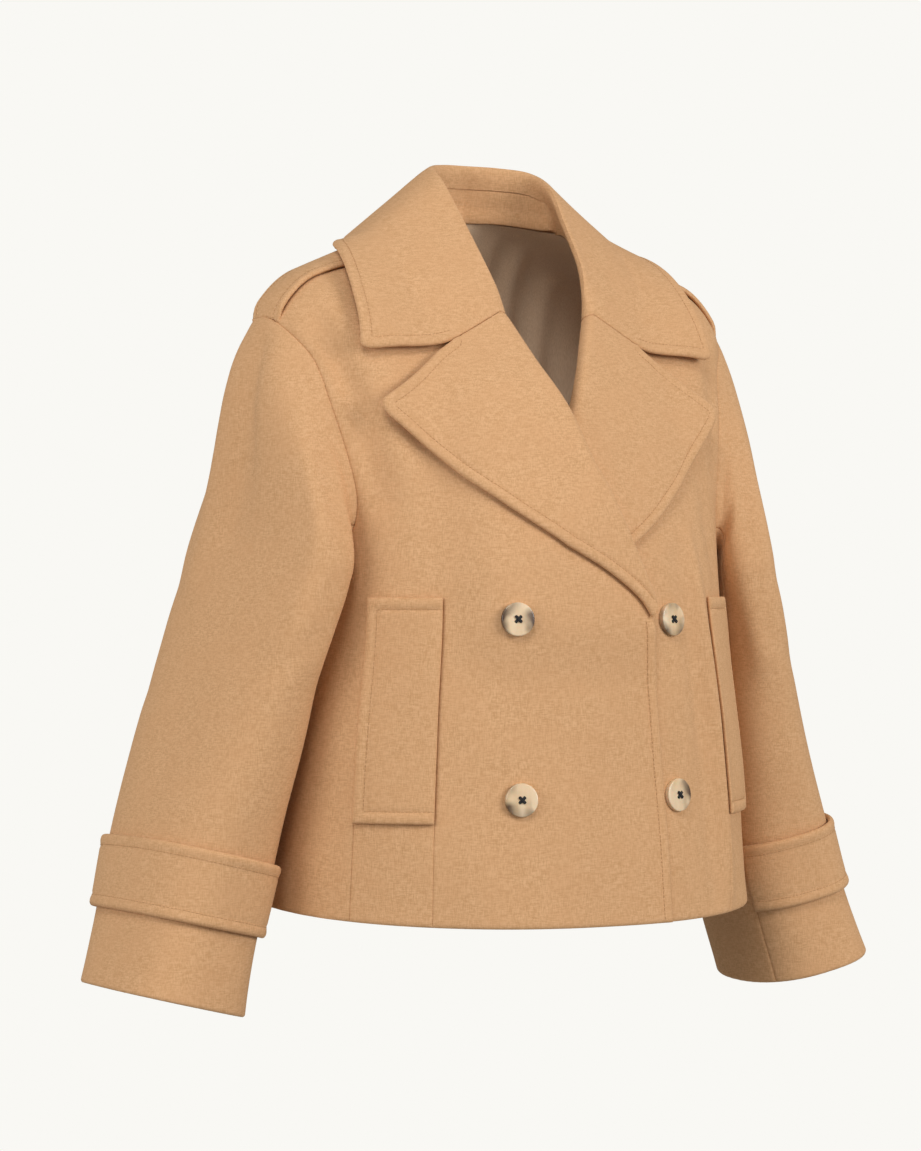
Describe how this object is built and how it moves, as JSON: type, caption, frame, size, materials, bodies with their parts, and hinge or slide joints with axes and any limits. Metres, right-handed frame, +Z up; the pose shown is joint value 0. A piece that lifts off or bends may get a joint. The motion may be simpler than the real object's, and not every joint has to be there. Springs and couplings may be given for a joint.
{
  "type": "pea coat",
  "caption": "Cropped double-breasted pea coat in camel wool melton, filled out as worn, with notched collar, wide lapels, shoulder straps, welt pockets and cuff straps",
  "frame": {"origin": "middle of the neck at the height of the points where shoulder seam and neck seam meet, where the wearer's shoulders hold the coat", "axes": "+Z up along the body, -Y out of the coat's front, +X towards the wearer's left"},
  "size_m": [0.7678, 0.3428, 0.7399],
  "materials": {
    "wool": "camel wool melton, brushed and sheared, matt with a soft nap",
    "lining": "taupe satin weave, soft sheen",
    "button": "moulded horn-like polyester, pale with smoky rim"
  },
  "bodies": {
    "root": {"front_right": "wool", "front_left": "wool", "pocket_panel_right": "wool", "pocket_panel_left": "wool", "back": "wool", "lapel_facing_right": "wool", "lapel_facing_left": "wool", "collar": "wool", "collar_stand": "wool", "top_sleeve_right": "wool", "top_sleeve_left": "wool", "under_sleeve_right": "wool", "under_sleeve_left": "wool", "cuff_strap_right": "wool", "cuff_strap_left": "wool", "epaulette_right": "wool", "epaulette_left": "wool", "pocket_welt_right": "wool", "pocket_welt_left": "wool", "lining_back": "lining", "button_top_right": "button", "button_bottom_right": "button", "button_top_left": "button", "button_bottom_left": "button"}
  },
  "joints": []
}
